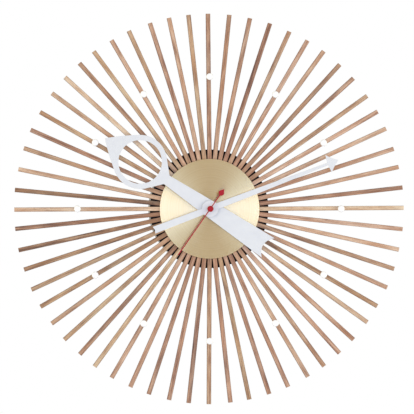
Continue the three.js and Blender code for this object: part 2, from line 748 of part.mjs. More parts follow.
// One lamination around the rotor, with a leg up to each end of the coil.
function stator() {
  const [left, innerLeft] = LEG_LEFT;
  const [innerRight, right] = LEG_RIGHT;
  const foot = 9.8;
  const outline = [
    [left, foot], [-6, foot], [-3, 13.5], [right, 14.5], [right, STATOR_TOP],
    [innerRight, STATOR_TOP], [innerRight, STATOR_YOKE], [innerLeft, STATOR_YOKE],
    [innerLeft, STATOR_TOP], [left, STATOR_TOP],
  ].map(([x, y]) => new THREE.Vector2(x, y));
  const bore = circlePoints(MAGNET_RADIUS + GAP + 0.1, 24, ROTOR_PLACE);
  return plate(outline, [bore], STATOR_BACK, STATOR_BACK + 1);
}

// The coil: wire on a flanged bobbin, whose core rests on both stator legs.
function coil() {
  const half = (LEG_RIGHT[0] - LEG_LEFT[1]) / 2 - 0.8;
  const end = half + 4.5;
  const core = 1.1;
  const wire = 2.8;
  const flange = 3.1;
  const profile = [
    [0, -end], [core, -end], [core, -half], [flange, -half], [flange, -half + 1],
    [wire, -half + 1], [wire, half - 1], [flange, half - 1], [flange, half], [core, half],
    [core, end], [0, end],
  ];
  const middle = (LEG_LEFT[1] + LEG_RIGHT[0]) / 2;
  return turned(profile, 16).rotateY(Math.PI / 2).translate(middle, 22.8, STATOR_BACK + 2.5);
}

function addMovement() {
  addPart('movement_rear_case', rearCase(), 'casePlastic');
  addPart('movement_front_case', frontCase(), 'casePlastic');
  addPart('aa_cell', cell(), 'cellWrap');
  addPart('contact_positive', contact(1, 15.5), 'zincSteel');
  addPart('contact_negative', contact(-1, 8), 'zincSteel');
  addPart('circuit_board', circuitBoard(), 'boardGreen');
  addPart('stator', stator(), 'zincSteel');
  addPart('coil', coil(), 'copper');
  addPart('rotor', rotor(), 'gearPlastic');
  addPart('step_wheel', stepWheel(), 'gearPlastic');
  addPart('seconds_wheel', secondsWheel(), 'gearPlastic');
  addPart('third_wheel', thirdWheel(), 'gearPlastic');
  addPart('centre_wheel', centreWheel(), 'brass');
  addPart('minute_wheel', minuteWheel(), 'gearPlastic');
  addPart('hour_wheel', hourWheel(), 'brass');
  addPart('setting_knob', settingKnob(), 'knobPlastic');
}

// ------------------------------------------------------------------- hands

// Hands are drawn pointing up, then turned clockwise to the time they show.
const turnedTo = (geometry, degrees) => geometry.rotateZ(-radians(degrees));

const HOUR_HAND = {
  tip: 152,
  eye: 101.1, // distance of the eye's centre from the axis
  eyeRadius: 26.1,
  bowRadius: 32.5,
  shoulderAngle: 51.1, // where the bow runs into the point, in degrees
  pointControl: [12.9, 139],
  flare: [20, 75.5],
  neck: [6.1, 62.6],
  waist: 9.9, // half width at the axis
  tail: 84.5,
  tailHalf: 14,
  notch: 77.4,
};

// A spade: a ring drawn out to a point, on a tapered blade with a swallowtail.
function hourHand() {
  const h = HOUR_HAND;
  const [neckHalf, neck] = h.neck;
  const [flareHalf, flare] = h.flare;
  const shoulder = radians(h.shoulderAngle);
  const bowStart = Math.atan2(flare - h.eye, flareHalf);
  const shape = new THREE.Shape();
  shape.moveTo(0, -h.notch);
  shape.quadraticCurveTo(h.tailHalf * 0.5, -h.notch, h.tailHalf, -h.tail);
  shape.lineTo(h.waist, 0);
  shape.lineTo(neckHalf, neck);
  shape.absarc(0, h.eye, h.bowRadius, bowStart, Math.PI / 2 - shoulder, false);
  shape.quadraticCurveTo(h.pointControl[0], h.pointControl[1], 0, h.tip);
  shape.quadraticCurveTo(
    -h.pointControl[0], h.pointControl[1],
    -h.bowRadius * Math.sin(shoulder), h.eye + h.bowRadius * Math.cos(shoulder),
  );
  shape.absarc(0, h.eye, h.bowRadius, Math.PI / 2 + shoulder, Math.PI - bowStart, false);
  shape.lineTo(-neckHalf, neck);
  shape.lineTo(-h.waist, 0);
  shape.lineTo(-h.tailHalf, -h.tail);
  shape.quadraticCurveTo(-h.tailHalf * 0.5, -h.notch, 0, -h.notch);
  shape.holes = [
    new THREE.Path(circlePoints(h.eyeRadius, 40, [0, h.eye])),
    new THREE.Path(circlePoints(PIPE_RADIUS + GAP, 20)),
  ];
  return slab(shape, HOUR_HAND_BACK, HOUR_HAND_BACK + HAND_THICKNESS, 6);
}

const MINUTE_HAND = {
  tip: 165.5,
  barb: [11.4, 152.8],
  barbRoot: 151.6,
  neckHalf: 1.6,
  barbControl: [5.7, 157.2],
  midHalf: 3.4,
  mid: 48,
  waist: 3.75,
  bossRadius: 10,
  tail: 72.2,
  tailHalf: 4.3,
  notch: 71,
};

// A long blade with a barbed arrowhead and a round boss at the axis.
function minuteHand() {
  const m = MINUTE_HAND;
  const blade = new THREE.Shape();
  const side = (sign) => [
    [sign * m.neckHalf, m.barbRoot], [sign * m.midHalf, m.mid],
    [sign * m.waist, 0], [sign * m.tailHalf, -m.tail],
  ];
  const trace = (points) => points.forEach(([x, y]) => blade.lineTo(x, y));
  blade.moveTo(0, -m.notch);
  trace(side(1).reverse());
  blade.lineTo(...m.barb);
  blade.quadraticCurveTo(m.barbControl[0], m.barbControl[1], 0, m.tip);
  blade.quadraticCurveTo(-m.barbControl[0], m.barbControl[1], -m.barb[0], m.barb[1]);
  trace(side(-1));
  const back = MINUTE_HAND_BACK;
  const front = back + HAND_THICKNESS;
  return build(
    [slab(blade, back, front, 6), disc(m.bossRadius, 40, back, front)],
    [disc(CANNON_RADIUS + GAP, 16, back - 1, front + 1)],
  );
}

const SECOND_HAND = {
  tip: 67.5,
  stemHalf: 0.6,
  drop: 23.3, // centre of the counterweight's round end
  dropRadius: 3.3,
  dropPoint: 29,
  hubRadius: 2.4,
};

// A thin pointer with a drop-shaped counterweight on its short end.
function secondHand() {
  const s = SECOND_HAND;
  const back = SECOND_HAND_BACK;
  const front = back + SECOND_HAND_THICKNESS;
  const tangent = Math.acos(s.dropRadius / (s.dropPoint - s.drop));
  const drop = new THREE.Shape();
  drop.moveTo(0, -s.dropPoint);
  drop.absarc(0, -s.drop, s.dropRadius, tangent - Math.PI / 2, 1.5 * Math.PI - tangent, false);
  return build(
    [
      block([-s.stemHalf, -s.drop, back], [s.stemHalf, s.tip, front]),
      slab(drop, back, front, 8),
      disc(s.hubRadius, 20, back, front),
    ],
    [disc(SECONDS_SHAFT + GAP, 12, back - 1, front + 1)],
  );
}

function secondHandCap() {
  const round = 1;
  const top = CAP_BACK + CAP_HEIGHT;
  const body = turned([
    [0, CAP_BACK], [CAP_RADIUS, CAP_BACK], [CAP_RADIUS, top - round],
    [CAP_RADIUS - 0.3 * round, top - 0.3 * round], [CAP_RADIUS - round, top], [0, top],
  ], 24);
  const bore = disc(SECONDS_SHAFT + GAP, 12, CAP_BACK - 1, SECONDS_SHAFT_FRONT + GAP);
  return build([body], [bore]);
}

function addHands() {
  addPart('hour_hand', turnedTo(hourHand(), HOUR_HAND_ANGLE), 'handLacquer');
  addPart('minute_hand', turnedTo(minuteHand(), MINUTE_HAND_ANGLE), 'handLacquer');
  const nutBore = SECONDS_SHAFT + GAP;
  const handNut = tube(nutBore, HAND_NUT_RADIUS, 20, HAND_NUT_BACK, HAND_NUT_FRONT);
  addPart('minute_hand_nut', handNut, 'brass');
  addPart('second_hand', turnedTo(secondHand(), SECOND_HAND_ANGLE), 'redLacquer');
  addPart('second_hand_cap', secondHandCap(), 'redLacquer');
}

// ---------------------------------------------------------------- assembly

addDrum();
addFront();
addMovement();
addHands();
clock.rotation.x = Math.PI / 2;

export default clock;
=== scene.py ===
import json
import math
import random

import bmesh
import bpy
from mathutils import Matrix, Vector


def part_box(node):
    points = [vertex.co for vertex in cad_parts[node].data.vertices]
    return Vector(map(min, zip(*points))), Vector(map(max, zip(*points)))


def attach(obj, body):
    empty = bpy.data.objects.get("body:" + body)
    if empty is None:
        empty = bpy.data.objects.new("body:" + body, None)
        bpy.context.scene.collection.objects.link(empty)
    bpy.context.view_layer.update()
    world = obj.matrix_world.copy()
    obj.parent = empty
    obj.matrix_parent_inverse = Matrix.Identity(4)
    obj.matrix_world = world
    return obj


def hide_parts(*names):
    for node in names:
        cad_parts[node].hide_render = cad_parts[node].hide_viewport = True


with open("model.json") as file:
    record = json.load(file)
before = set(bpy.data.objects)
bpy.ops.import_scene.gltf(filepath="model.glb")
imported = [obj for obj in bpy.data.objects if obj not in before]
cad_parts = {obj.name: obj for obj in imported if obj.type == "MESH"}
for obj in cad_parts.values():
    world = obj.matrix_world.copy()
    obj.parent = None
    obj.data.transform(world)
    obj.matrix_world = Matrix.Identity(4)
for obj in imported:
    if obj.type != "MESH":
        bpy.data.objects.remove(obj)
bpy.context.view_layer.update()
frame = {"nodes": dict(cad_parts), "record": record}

# Sunburst wall clock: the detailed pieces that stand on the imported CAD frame.
#
# Shapes are drawn in millimetres in the dial's axes: x to the right and y up as
# the viewer sees them, z from the wall towards the viewer, the clock's axis at
# x = y = 0. Depths and radii that the CAD model already holds are read from it.

MM = 0.001
FULL_TURN = 2 * math.pi
DIAL_AXES = Matrix.Rotation(math.radians(90), 4, "X")  # dial axes to world axes


# ------------------------------------------------------------ the CAD model

BODY_OF = {
    node: body
    for body, nodes in frame["record"]["behaviour"]["bodies"].items()
    for node in nodes
}


def span(node):
    """A CAD node's lowest and highest corner in the dial's axes, in mm."""
    low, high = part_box(node)
    return (
        Vector((low.x, low.z, -high.y)) / MM,
        Vector((high.x, high.z, -low.y)) / MM,
    )


def depths(node):
    """How far a CAD node's back and front are from the wall, in mm."""
    low, high = span(node)
    return low.z, high.z


def centre_of(node):
    """The middle of a CAD node as the viewer sees it."""
    low, high = span(node)
    return ((low.x + high.x) / 2, (low.y + high.y) / 2)


def radius_of(node):
    """Half the width of a CAD node that is round about its own middle."""
    low, high = span(node)
    return (high.x - low.x) / 2


# --------------------------------------------------------------- dimensions

HOURS = 12
RAYS_PER_HOUR = 5
RAY_COUNT = HOURS * RAYS_PER_HOUR
RAY_BACK, RAY_FRONT = depths("rays_03")
RAY_WIDTH = RAY_FRONT - RAY_BACK
RAY_TIP_RADIUS = span("rays_03")[1].x
RAY_ROOT_RADIUS = 53  # where neighbouring rays all but meet, so that they narrow from there in
RAY_TONGUE_RADIUS = 46.5
RAY_CORNER = 0.35
RAY_TIP_EDGE = 0.25
RAY_TIP_SPREAD = 0.7  # how far a stick may fall short of the longest one
RAY_LEAN = 0.32  # degrees that a stick strays from its radius, as a standard deviation
RAY_LEAN_LIMIT = 0.6
RAY_TONE_SPREAD = 0.17
RAY_TONE_LIMITS = (0.08, 0.92)
RAY_SEED = 11

MARKER_BACK, MARKER_FRONT = depths("hour_marker_12")
MARKER_PLACE = centre_of("hour_marker_12")[1]  # distance from the clock's axis
MARKER_RADIUS = radius_of("hour_marker_12")
MARKER_RIM = 1.1  # height of its straight side, below the dome
MARKER_EDGE = 0.25

DRUM_BACK, DRUM_FRONT = depths("drum")
DRUM_RADIUS = radius_of("drum")
DRUM_WALL = 1.4
DRUM_FACE = 1.6
HUB_BACK, RIB_FRONT = depths("hub_ring")
HUB_THICKNESS = 2
HUB_FRONT = HUB_BACK + HUB_THICKNESS
HUB_BORE = 40
RIB_ROOT_RADIUS = 59.5
RIB_TIP_RADIUS = DRUM_RADIUS - 0.1
RIB_SUNK = 0.4  # how far a rib is let into the ring
RIB_GAP = 0.3  # between a rib and the stick beside it

DIAL_BACK, DIAL_FRONT = depths("dial_disc")
DIAL_RADIUS = radius_of("dial_disc")
SHAFT_CLEAR = 4.3  # radius of the holes that the movement's shaft passes through
NUT_CORNER_RADIUS = 6

COVER_BACK, COVER_FRONT = depths("rear_cover")
COVER_RADIUS = radius_of("rear_cover")
HANGER_HEIGHT = centre_of("hanger_plate")[1]
KEYHOLE_PLACE = (0, HANGER_HEIGHT - 4)  # middle of its round entry
KEYHOLE_RISE = 8  # from there to the top of the slot
CELL_WINDOW = (54, 15.4)  # width and height
KNOB_WINDOW_RADIUS = 7.8
SCREW_HOLE_RADIUS = 3.3
RIVET_HOLE_RADIUS = 1.8
POST_BORE = 1.8
SCREWS = [f"cover_screw_{i}" for i in (1, 2, 3)]
POSTS = [f"screw_post_{i}" for i in (1, 2, 3)]
RIVETS = [f"hanger_rivet_{i}" for i in (1, 2)]
CELL_PLACE = centre_of("aa_cell")
CELL_BAND_SPAN = 54  # length over which the sleeve's bands are laid out
CELL_SLEEVE_END = 23.6  # the sleeve reaches this far either side of the middle

HOUR_HAND_ANGLE = 303.8  # degrees clockwise from twelve at rest
MINUTE_HAND_ANGLE = 69.2
SECOND_HAND_ANGLE = 215
HOUR_HAND_BORE = 2.8  # radius, as all the bores here
MINUTE_HAND_BORE = 1.8
SECOND_HAND_BORE = 0.8

ARC_STEPS = 48  # sides of a full circle that is seen small
ROUND_STEPS = 144  # sides of a full circle that is seen large
SIDE_SHARE = 0.48  # the most of a side that the rounding of one corner takes
MITRE_LIMIT = 0.4  # keeps a sharp corner from running away when its loop is inset
SHARP_ANGLE = 32  # degrees from which an edge is shown as an edge


# ------------------------------------------------------------ outlines in 2D

def arc(centre, radius, start, end, steps):
    """Points along an arc between two angles in degrees, anticlockwise if end is larger."""
    angles = [math.radians(start + (end - start) * i / steps) for i in range(steps + 1)]
    return [(centre[0] + radius * math.cos(a), centre[1] + radius * math.sin(a)) for a in angles]


def circle(radius, steps=ARC_STEPS, centre=(0, 0)):
    return arc(centre, radius, 0, 360, steps)[:-1]


def curve(start, control, end, steps=12):
    """Points along a quadratic curve, its start left out."""
    points = []
    for i in range(1, steps + 1):
        t = i / steps
        first = Vector(start).lerp(Vector(control), t)
        points.append(tuple(first.lerp(Vector(control).lerp(Vector(end), t), t)))
    return points


def mirrored(right_side):
    """Closes a right-hand side that starts and ends on the axis x = 0."""
    left_side = [(-x, y) for x, y in reversed(right_side[1:-1])]
    return list(right_side) + left_side


def hole(points):
    """A loop turned round, so that the material is on its left."""
    return list(reversed(points))


def soften(points, radius, closed=True, steps=4):
    """Rounds the corners of a line of points, by less where they are close together."""
    softened = []
    for i, point in enumerate(points):
        if not closed and i in (0, len(points) - 1):
            softened.append(tuple(point))
            continue
        corner = Vector(point)
        before = Vector(points[i - 1]) - corner
        after = Vector(points[(i + 1) % len(points)]) - corner
        start = corner + before.normalized() * min(radius, before.length * SIDE_SHARE)
        end = corner + after.normalized() * min(radius, after.length * SIDE_SHARE)
        softened += [tuple(start)] + curve(start, corner, end, steps)
    return softened


def rounded_rectangle(width, height, corner, centre):
    x, y = centre
    w, h = width / 2, height / 2
    return soften([(x - w, y - h), (x + w, y - h), (x + w, y + h), (x - w, y + h)], corner, steps=6)


def keyhole(entry_radius, slot_width, rise, centre):
    """A round entry with a narrower slot above it."""
    half = slot_width / 2
    mouth = math.degrees(math.asin(half / entry_radius))
    entry = arc(centre, entry_radius, 90 + mouth, 450 - mouth, 36)
    return entry + arc((centre[0], centre[1] + rise), half, 0, 180, 16)


def inset(loop, amount):
    """The loop moved to its left, where the material is."""
    moved = []
    for i, point in enumerate(loop):
        here = Vector(point)
        arriving = (here - Vector(loop[i - 1])).normalized()
        leaving = (Vector(loop[(i + 1) % len(loop)]) - here).normalized()
        left = Vector((-arriving.y, arriving.x))
        next_left = Vector((-leaving.y, leaving.x))
        mitre = (left + next_left) / max(MITRE_LIMIT, 1 + left.dot(next_left))
        moved.append(tuple(here + mitre * amount))
    return moved


# ------------------------------------------------------------ building meshes

def loft(bm, rings):
    """Skins loops of points in mm, one after another, and returns their rows of vertices."""
    rows = [[bm.verts.new(Vector(point) * MM) for point in ring] for ring in rings]
    for row, following in zip(rows, rows[1:]):
        for i in range(len(row)):
            bm.faces.new((row[i - 1], row[i], following[i], following[i - 1]))
    return rows


def cap(bm, rows):
    """Fills the area between loops of vertices."""
    edges = [bm.edges.get((row[i - 1], row[i])) for row in rows for i in range(len(row))]
    bmesh.ops.triangle_fill(bm, edges=edges, use_beauty=True)


def quarter_round(radius, steps=3):
    """(inset, drop) pairs along a rounded edge, from the side to the face."""
    turns = [math.pi / 2 * i / steps for i in range(steps + 1)]
    return [(radius * (1 - math.cos(a)), radius * (1 - math.sin(a))) for a in turns]


def add_plate(bm, loops, back, front, edge):
    """A plate with rounded edges. The first loop is its outline and the rest are holes."""
    rounding = quarter_round(edge)
    layers = [(shrink, back + drop) for shrink, drop in reversed(rounding)]
    layers += [(shrink, front - drop) for shrink, drop in rounding]
    ends = []
    for loop in loops:
        rings = [[(x, y, z) for x, y in inset(loop, shrink)] for shrink, z in layers]
        rows = loft(bm, rings)
        ends.append((rows[0], rows[-1]))
    cap(bm, [first for first, _ in ends])
    cap(bm, [last for _, last in ends])


def add_turned(bm, profile, steps=ARC_STEPS):
    """A body turned about the z axis from (radius, depth) points."""
    rings = []
    for radius, depth in profile:
        rings.append([(x, y, depth) for x, y in circle(radius, steps)])
    loft(bm, rings)


def add_tube(bm, bore, radius, back, front, edge, steps=ARC_STEPS):
    """A ring or bush with rounded edges."""
    section = soften([(bore, back), (radius, back), (radius, front), (bore, front)], edge)
    add_turned(bm, section + section[:1], steps)


def to_mesh(bm, name):
    """Closes the body, sets its normals and marks its sharp edges."""
    bmesh.ops.remove_doubles(bm, verts=bm.verts, dist=1e-7)
    bmesh.ops.recalc_face_normals(bm, faces=bm.faces)
    for face in bm.faces:
        face.smooth = True
    for edge in bm.edges:
        edge.smooth = edge.calc_face_angle(math.pi) < math.radians(SHARP_ANGLE)
    mesh = bpy.data.meshes.new(name)
    bm.to_mesh(mesh)
    bm.free()
    return mesh


def piece(name, bm, finish, node, turn=0.0, offset=(0, 0, 0)):
    """Makes a piece that stands for a CAD node, turned clockwise in degrees about the axis."""
    obj = bpy.data.objects.new(name, to_mesh(bm, name))
    bpy.context.scene.collection.objects.link(obj)
    x, y, z = offset
    obj.matrix_world = (
        Matrix.Translation(Vector((x, -z, y)) * MM)
        @ DIAL_AXES
        @ Matrix.Rotation(-math.radians(turn), 4, "Z")
    )
    obj.data.materials.append(finish)
    even = obj.modifiers.new("even_normals", "WEIGHTED_NORMAL")
    even.keep_sharp = True
    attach(obj, BODY_OF[node])
    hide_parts(node)
    return obj


# ------------------------------------------------------------------ finishes

def srgb(red, green, blue):
    """A colour given as seen on screen, 0 to 255, as linear light."""
    def linear(value):
        value /= 255
        return value / 12.92 if value <= 0.04045 else ((value + 0.055) / 1.055) ** 2.4
    return (linear(red), linear(green), linear(blue), 1.0)


class Finish:
    """A procedural material, built node by node. Scales are in repeats per mm."""

    def __init__(self, name):
        self.material = bpy.data.materials.new(name)
        self.material.use_nodes = True
        self.tree = self.material.node_tree
        self.shader = self.tree.nodes["Principled BSDF"]
        self.place = self.node("TexCoord").outputs["Object"]

    def node(self, kind):
        return self.tree.nodes.new(f"ShaderNode{kind}")

    def put(self, socket, value):
        """Links a socket to another one, or sets its value."""
        if isinstance(value, bpy.types.NodeSocket):
            self.tree.links.new(value, socket)
        else:
            socket.default_value = value

    def math(self, operation, first, second=0.0):
        node = self.node("Math")
        node.operation = operation
        self.put(node.inputs[0], first)
        self.put(node.inputs[1], second)
        return node.outputs[0]

    def scaled(self, scale):
        """The piece's own coordinates in repeats, from a scale along each axis."""
        node = self.node("VectorMath")
        node.operation = "MULTIPLY"
        self.put(node.inputs[0], self.place)
        node.inputs[1].default_value = [factor / MM for factor in scale]
        return node.outputs[0]

    def attribute(self, name):
        node = self.node("Attribute")
        node.attribute_name = name
        return node.outputs["Fac"]

    def noise(self, scale, detail, seed=None):
        """Noise from 0 to 1, stretched by a scale along each axis."""
        node = self.node("TexNoise")
        node.noise_dimensions = "3D" if seed is None else "4D"
        self.put(node.inputs["Vector"], self.scaled(scale))
        node.inputs["Scale"].default_value = 1.0
        node.inputs["Detail"].default_value = detail
        if seed is not None:
            self.put(node.inputs["W"], seed)
        return node.outputs["Fac"]

    def radius(self):
        """Distance from the piece's z axis, in mm."""
        flat = self.node("VectorMath")
        flat.operation = "MULTIPLY"
        self.put(flat.inputs[0], self.place)
        flat.inputs[1].default_value = (1 / MM, 1 / MM, 0)
        length = self.node("VectorMath")
        length.operation = "LENGTH"
        self.tree.links.new(flat.outputs[0], length.inputs[0])
        return length.outputs["Value"]

    def coordinate(self, axis):
        """The piece's own coordinate along an axis, in mm."""
        node = self.node("SeparateXYZ")
        self.put(node.inputs[0], self.place)
        return self.math("MULTIPLY", node.outputs[axis], 1 / MM)

    def noise_along(self, value, scale, detail):
        """Noise from 0 to 1 that follows one number."""
        node = self.node("TexNoise")
        node.noise_dimensions = "1D"
        self.put(node.inputs["W"], self.math("MULTIPLY", value, scale))
        node.inputs["Scale"].default_value = 1.0
        node.inputs["Detail"].default_value = detail
        return node.outputs["Fac"]

    def ramp(self, value, stops):
        """Colours or greys by position, from {position: colour or grey}."""
        node = self.node("ValToRGB")
        elements = node.color_ramp.elements
        while len(elements) < len(stops):
            elements.new(0.5)
        for element, (position, colour) in zip(elements, sorted(stops.items())):
            element.position = position
            element.color = colour if isinstance(colour, tuple) else (colour,) * 3 + (1.0,)
        self.put(node.inputs["Fac"], value)
        return node.outputs["Color"]

    def blend(self, factor, first, second, kind="MIX"):
        """The first colour turning into the second as the factor goes from 0 to 1."""
        node = self.node("Mix")  # its colours are inputs 6 and 7 and output 2
        node.data_type = "RGBA"
        node.blend_type = kind
        self.put(node.inputs[0], factor)
        self.put(node.inputs[6], first)
        self.put(node.inputs[7], second)
        return node.outputs[2]

    def around(self, value, middle, spread):
        """A number that swings about a middle as noise goes from 0 to 1."""
        swing = self.math("MULTIPLY", self.math("SUBTRACT", value, 0.5), 2 * spread)
        return self.math("ADD", swing, middle)

    def bump(self, height, depth):
        """Relief from a height of 0 to 1 and its depth in mm."""
        node = self.node("Bump")
        node.inputs["Strength"].default_value = 1.0
        node.inputs["Distance"].default_value = depth * MM
        self.put(node.inputs["Height"], height)
        self.tree.links.new(node.outputs["Normal"], self.shader.inputs["Normal"])

    def wear(self, **settings):
        """Sets the shader's own sockets by name, with _ for a space."""
        for name, value in settings.items():
            self.put(self.shader.inputs[name.replace("_", " ")], value)
        return self.material


def walnut():
    """Oiled straight-grained wood with painted shade along its long edges, its tone from the stick's
    attribute.
    """
    f = Finish("walnut")
    tone = f.attribute("tone")
    character = f.attribute("seed")
    seed = f.math("MULTIPLY", character, 60.0)
    bands = f.noise((0.45, 0.045, 0.45), 3.0, seed)
    fibres = f.noise((2.2, 0.06, 2.2), 4.0, seed)
    drift = f.noise((0.05, 0.02, 0.05), 2.0, seed)
    pores = f.noise((5.5, 0.22, 5.5), 1.0, seed)
    level = f.math("ADD", tone, f.around(bands, 0.0, 0.62))
    level = f.math("ADD", level, f.around(fibres, 0.0, 0.50))
    level = f.math("ADD", level, f.around(drift, 0.0, 0.34))
    wood = f.ramp(level, {
        0.0: srgb(100, 69, 51),
        0.25: srgb(145, 105, 81),
        0.5: srgb(183, 145, 116),
        0.75: srgb(208, 174, 144),
        1.0: srgb(228, 202, 175),
    })
    warm = f.noise((0.12, 0.02, 0.12), 2.0, f.math("ADD", seed, 7.0))
    wood = f.blend(f.ramp(warm, {0.42: 0.0, 0.72: 0.55}), wood, srgb(188, 134, 94))
    greyed = f.noise((0.2, 0.016, 0.2), 2.0, f.math("ADD", seed, 19.0))
    wood = f.blend(f.ramp(greyed, {0.5: 0.0, 0.8: 0.45}), wood, srgb(176, 158, 138))
    open_pores = f.ramp(pores, {0.30: 1.0, 0.40: 0.0})
    wood = f.blend(f.math("MULTIPLY", open_pores, 0.45), wood, srgb(78, 52, 40))
    hue = f.ramp(character, {  # factors, from a redder stick to a greener one
        0.0: (1.0, 0.955, 0.98, 1.0),
        0.5: (1.0, 1.0, 1.0, 1.0),
        1.0: (0.96, 1.02, 0.92, 1.0),
    })
    wood = f.blend(1.0, wood, hue, "MULTIPLY")
    # painted shade: the stick's colour darkens towards its long edges, where it meets the dark gaps
    # between the sticks
    from_middle = f.math("ABSOLUTE", f.coordinate("X"))
    edges = f.ramp(f.math("DIVIDE", from_middle, RAY_WIDTH / 2), {0.7: 0.0, 1.0: 0.6})
    wood = f.blend(edges, wood, srgb(82, 54, 40))
    f.bump(f.math("SUBTRACT", fibres, f.math("MULTIPLY", open_pores, 0.6)), 0.10)
    return f.wear(
        Base_Color=wood,
        Roughness=f.around(fibres, 0.52, 0.12),
        Specular_IOR_Level=0.35,
    )


def dial_brass():
    """Lacquered brass brushed in circles, so that its sheen fans out along radii."""
    f = Finish("dial_brass")
    radius = f.radius()
    fine = f.noise_along(radius, 6.0, 3.0)
    coarse = f.noise_along(radius, 0.7, 3.0)
    cloud = f.noise((0.05, 0.05, 0.05), 3.0)
    colour = f.ramp(f.math("ADD", f.around(fine, 0.5, 0.30), f.around(coarse, 0.0, 0.25)), {
        0.0: srgb(210, 181, 131),
        0.5: srgb(226, 199, 150),
        1.0: srgb(240, 217, 172),
    })
    colour = f.blend(f.ramp(cloud, {0.35: 0.0, 0.75: 0.25}), colour, srgb(215, 184, 132))
    direction = f.node("Tangent")
    direction.direction_type = "RADIAL"
    direction.axis = "Z"
    f.tree.links.new(direction.outputs[0], f.shader.inputs["Tangent"])
    f.bump(f.around(fine, 0.5, 0.5), 0.012)
    return f.wear(
        Base_Color=colour,
        Metallic=1.0,
        Roughness=f.around(coarse, 0.33, 0.04),
        Anisotropic=1.0,
        Anisotropic_Rotation=0.25,
        Coat_Weight=0.2,
        Coat_Roughness=0.3,
    )


def turned_brass():
    """Bright brass with fine tool rings."""
    f = Finish("turned_brass")
    rings = f.noise_along(f.radius(), 6.0, 2.0)
    tarnish = f.noise((0.25, 0.25, 0.25), 3.0)
    colour = f.ramp(tarnish, {0.3: srgb(205, 170, 108), 0.7: srgb(226, 196, 138)})
    f.bump(rings, 0.01)
    return f.wear(Base_Color=colour, Metallic=1.0, Roughness=f.around(rings, 0.28, 0.1))


def black_steel(name, roughness, gloss):
    """Steel under a black coat with a very fine texture."""
    f = Finish(name)
    grain = f.noise((2.2, 2.2, 2.2), 3.0)
    cloud = f.noise((0.06, 0.06, 0.06), 3.0)
    colour = f.ramp(cloud, {0.3: srgb(5, 5, 6), 0.7: srgb(11, 10, 11)})
    colour = f.blend(f.ramp(grain, {0.5: 0.0, 0.8: 0.3}), colour, srgb(22, 20, 22))
    f.bump(grain, 0.05)
    return f.wear(
        Base_Color=colour,
        Roughness=f.around(grain, roughness, 0.08),
        Specular_IOR_Level=gloss,
    )


def lacquer(name, base, shade, roughness, gloss=0.5, coat=0.0):
    """Sprayed paint: a slight cloudiness and the soft ripple of a sprayed coat."""
    f = Finish(name)
    cloud = f.noise((0.08, 0.08, 0.08), 3.0)
    speck = f.noise((3.0, 3.0, 3.0), 2.0)
    ripple = f.noise((0.7, 0.7, 0.7), 2.0)
    colour = f.ramp(cloud, {0.3: shade, 0.65: base})
    colour = f.blend(f.ramp(speck, {0.62: 0.0, 0.8: 0.3}), colour, shade)
    f.bump(f.math("ADD", ripple, f.math("MULTIPLY", speck, 0.15)), 0.02)
    return f.wear(
        Base_Color=colour,
        Roughness=f.around(speck, roughness, 0.05),
        Specular_IOR_Level=gloss,
        Coat_Weight=coat,
        Coat_Roughness=0.15,
    )


def zinc_steel():
    """Zinc-plated sheet steel, lightly brushed across, with faint spangle."""
    f = Finish("zinc_steel")
    brushed = f.noise((0.15, 5.0, 5.0), 3.0)
    spangle = f.noise((0.45, 0.45, 0.45), 1.0)
    colour = f.ramp(spangle, {0.3: srgb(172, 174, 178), 0.7: srgb(208, 209, 210)})
    f.bump(brushed, 0.012)
    return f.wear(Base_Color=colour, Metallic=1.0, Roughness=f.around(brushed, 0.36, 0.12))


def moulded_plastic(name, base, shade, roughness, clear=0.0):
    """Moulded plastic with a fine spark-eroded texture and faint flow marks."""
    f = Finish(name)
    texture = f.noise((3.5, 3.5, 3.5), 3.0)
    flow = f.noise((0.12, 0.03, 0.12), 3.0)
    colour = f.ramp(flow, {0.3: shade, 0.7: base})
    colour = f.blend(f.ramp(texture, {0.55: 0.0, 0.85: 0.3}), colour, shade)
    f.bump(texture, 0.03)
    return f.wear(
        Base_Color=colour,
        Roughness=f.around(texture, roughness, 0.08),
        Subsurface_Weight=clear,
        Subsurface_Scale=0.002,
    )


def copper_wire():
    """Enamelled copper wire wound in fine turns along x, each turn painted lighter on its crest and
    darker in the groove beside it: painted highlight and shade.
    """
    f = Finish("copper_wire")
    turns = f.math("SINE", f.math("MULTIPLY", f.coordinate("X"), 28.0))
    cloud = f.noise((0.4, 2.0, 2.0), 2.0)
    # painted highlight and shade: the colour follows the turns' crests and grooves, and the cloud
    # adds random tone
    shade = f.math("ADD", f.math("MULTIPLY", turns, 0.3), f.around(cloud, 0.5, 0.3))
    colour = f.ramp(shade, {0.0: srgb(120, 58, 32), 0.5: srgb(178, 96, 54), 1.0: srgb(214, 138, 88)})
    f.bump(turns, 0.04)
    return f.wear(Base_Color=colour, Metallic=0.9, Roughness=f.around(cloud, 0.34, 0.08))


def circuit_green():
    """Solder mask over copper tracks."""
    f = Finish("board_green")
    slanted = f.math("ADD", f.coordinate("X"), f.math("MULTIPLY", f.coordinate("Z"), 0.35))
    stripes = f.math("SINE", f.math("MULTIPLY", slanted, 3.6))
    tracks = f.ramp(stripes, {0.35: 0.0, 0.45: 1.0})
    weave = f.noise((4.0, 4.0, 4.0), 2.0)
    mask = f.ramp(weave, {0.3: srgb(18, 78, 50), 0.7: srgb(30, 98, 64)})
    colour = f.blend(tracks, mask, srgb(62, 136, 84))
    f.bump(f.math("ADD", tracks, f.math("MULTIPLY", weave, 0.2)), 0.04)
    return f.wear(Base_Color=colour, Roughness=f.around(weave, 0.38, 0.08), Coat_Weight=0.3)


